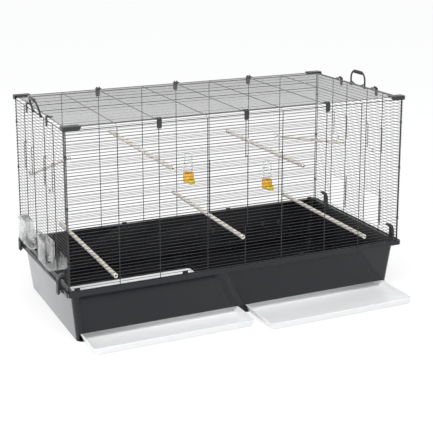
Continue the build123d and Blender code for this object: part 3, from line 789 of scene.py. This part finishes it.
def grooved_perch(low, high):
    """A tube along Y with spiral grooves, a bore and split ends, drawn out ring by ring."""
    shape = shape_settings()
    radius = (high[0] - low[0]) / 2
    middle = ((low[0] + high[0]) / 2, low[1], (low[2] + high[2]) / 2)
    length = high[1] - low[1]
    turn = 2 * math.pi / PERCH_SIDES
    steps = round(length / (shape.perch_turn / PERCH_SIDES))
    step = length / steps
    piece = ring(radius, PERCH_SIDES, middle, turn=(math.pi / 2, 0, 0))
    bpy.ops.object.mode_set(mode="OBJECT")
    centre = Vector(middle)
    for index in range(0, PERCH_SIDES, PERCH_SIDES // PERCH_GROOVES):
        point = piece.data.vertices[index]
        point.co = centre + (point.co - centre) * (1 - shape.perch_groove / radius)
    bpy.ops.object.mode_set(mode="EDIT")
    bpy.ops.mesh.select_all(action="SELECT")
    # The copy stays behind and closes the near end, and the first outline is drawn out.
    bpy.ops.mesh.duplicate()
    bpy.ops.mesh.select_all(action="INVERT")
    for number in range(steps):
        draw_out((0, step, 0))
        pivot = (middle[0], low[1] + step * (number + 1), middle[2])
        bpy.ops.transform.rotate(value=turn, orient_axis="Y", center_override=pivot)
    bpy.ops.object.mode_set(mode="OBJECT")
    face_outwards(piece)
    clear_selection()
    bpy.ops.mesh.primitive_cylinder_add(
        vertices=PERCH_SIDES, radius=PERCH_BORE, depth=length * OVERRUN,
        location=(middle[0], low[1] + length / 2, middle[2]), rotation=(math.pi / 2, 0, 0))
    cut_away(piece, bpy.context.object)
    for end in (low[1], high[1]):
        clear_selection()
        bpy.ops.mesh.primitive_cube_add(size=1, location=(middle[0], end, middle[2]),
                                        scale=(3 * radius, 2 * PERCH_SPLIT_DEPTH, PERCH_SPLIT))
        cut_away(piece, bpy.context.object)
    return piece


class CAGE_OT_perches(bpy.types.Operator):
    """Groove the long perches and finish the thin ones and their holders"""
    bl_idname = "cage.perches"
    bl_label = "Perches"

    def execute(self, context):
        first = None
        for node in LONG_PERCHES:
            low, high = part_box(node)
            if first is None:
                piece = grooved_perch(low, high)
                first = (piece, Vector(low))
            else:
                piece = first[0].copy()
                piece.data = first[0].data.copy()
                context.scene.collection.objects.link(piece)
                activate(piece)
                piece.location = Vector(low) - first[1]
                bpy.ops.object.transform_apply(location=True, rotation=False, scale=False)
            dress(piece, f"{node}_grooved", mottled_finish(), "cage", "perch_plastic", node)
        for side in LEFT_RIGHT:
            node = f"corner_perch_{side}"
            paint(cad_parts[node], thin_perch_finish())
            smooth(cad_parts[node])
        holders = moulded_copy("corner_perch_holders", shape_settings().trim_edge)
        dress(holders, "perch_holders_clear", clear_finish(), "cage", "clear_plastic",
              "corner_perch_holders")
        return {"FINISHED"}


class CAGE_OT_feeders(bpy.types.Operator):
    """Make the clear feeders and their lids"""
    bl_idname = "cage.feeders"
    bl_label = "Feeders"

    def execute(self, context):
        edge = shape_settings().trim_edge
        for place in FRONT_REAR:
            node = f"feeder_body_{place}"
            hopper = moulded_copy(node, edge)
            dress(hopper, f"feeder_hopper_{place}", clear_finish(), f"feeder_{place}",
                  "clear_plastic", node)
            node = f"feeder_lid_{place}"
            lid = moulded_copy(node, edge)
            dress(lid, f"feeder_flap_{place}", clear_finish(), node, "clear_plastic", node)
        return {"FINISHED"}


BOTTLE_SIDES = 48
BOTTLE_ROUND = 7 * MM
LEVEL_RINGS = (0.3, 0.5, 0.7)        # shares of the bottle's height
RING_DEPTH = 0.5 * MM
RING_HALF = 0.9 * MM
SHOULDER_STEPS = 6


def drinker_bottle(low, high):
    """A turned bottle with level rings pressed into it and a rounded top."""
    radius = (high[0] - low[0]) / 2
    tall = high[2] - low[2]
    profile = [(radius, low[2])]
    for share in LEVEL_RINGS:
        z = low[2] + share * tall
        profile += [(radius, z - RING_HALF), (radius - RING_DEPTH, z), (radius, z + RING_HALF)]
    for part in range(SHOULDER_STEPS + 1):
        angle = math.pi / 2 * part / SHOULDER_STEPS
        profile.append((radius - BOTTLE_ROUND * (1 - math.cos(angle)),
                        high[2] - BOTTLE_ROUND * (1 - math.sin(angle))))
    axis = ((low[0] + high[0]) / 2, (low[1] + high[1]) / 2)
    piece = turned(profile, BOTTLE_SIDES, axis)
    apply_modifier(piece, "SOLIDIFY", thickness=shape_settings().bottle_wall, offset=-1.0)
    return piece


class CAGE_OT_fountains(bpy.types.Operator):
    """Make the drinking fountains on the back panel"""
    bl_idname = "cage.fountains"
    bl_label = "Fountains"

    def execute(self, context):
        for side in LEFT_RIGHT:
            tank = drinker_bottle(*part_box(f"fountain_tank_{side}"))
            dress(tank, f"fountain_bottle_{side}", clear_finish(), "cage", "clear_plastic",
                  f"fountain_tank_{side}")
            bowl = moulded_copy(f"fountain_bowl_{side}", shape_settings().trim_edge)
            dress(bowl, f"fountain_foot_{side}", drinker_finish(), "cage", "fountain_plastic",
                  f"fountain_bowl_{side}")
        return {"FINISHED"}


class CAGE_OT_handles(bpy.types.Operator):
    """Make the carrying handles"""
    bl_idname = "cage.handles"
    bl_label = "Handles"

    def execute(self, context):
        for side in LEFT_RIGHT:
            node = f"handle_{side}"
            piece = moulded_copy(node, shape_settings().trim_edge)
            dress(piece, f"{node}_moulded", trim_finish(), node, "trim_plastic", node)
        return {"FINISHED"}


OPERATORS = [CAGE_OT_stage, CAGE_OT_wires, CAGE_OT_tub, CAGE_OT_trays, CAGE_OT_trim, CAGE_OT_perches,
             CAGE_OT_feeders, CAGE_OT_fountains, CAGE_OT_handles]


class CAGE_PT_panel(bpy.types.Panel):
    """Builds the cage piece by piece, with the settings shown"""
    bl_label = "Wire bird cage"
    bl_idname = "CAGE_PT_panel"
    bl_space_type = "VIEW_3D"
    bl_region_type = "UI"
    bl_category = "Cage"

    def draw(self, context):
        layout = self.layout
        for operator in OPERATORS:
            layout.operator(operator.bl_idname)
        for settings in (context.scene.cage_finish, context.scene.cage_shape, context.scene.cage_stage):
            box = layout.box()
            for name in settings.__annotations__:
                box.prop(settings, name)


CLASSES = [FinishSettings, StageSettings, ShapeSettings, *OPERATORS, CAGE_PT_panel]


def register():
    for item in CLASSES:
        bpy.utils.register_class(item)
    bpy.types.Scene.cage_finish = bpy.props.PointerProperty(type=FinishSettings)
    bpy.types.Scene.cage_stage = bpy.props.PointerProperty(type=StageSettings)
    bpy.types.Scene.cage_shape = bpy.props.PointerProperty(type=ShapeSettings)


def unregister():
    del bpy.types.Scene.cage_shape
    del bpy.types.Scene.cage_stage
    del bpy.types.Scene.cage_finish
    for item in reversed(CLASSES):
        bpy.utils.unregister_class(item)


def main():
    register()
    bpy.ops.cage.stage()
    bpy.ops.cage.wires()
    bpy.ops.cage.tub()
    bpy.ops.cage.trays()
    bpy.ops.cage.trim()
    bpy.ops.cage.perches()
    bpy.ops.cage.feeders()
    bpy.ops.cage.fountains()
    bpy.ops.cage.handles()
    clear_selection()


if __name__ == "__main__":
    main()
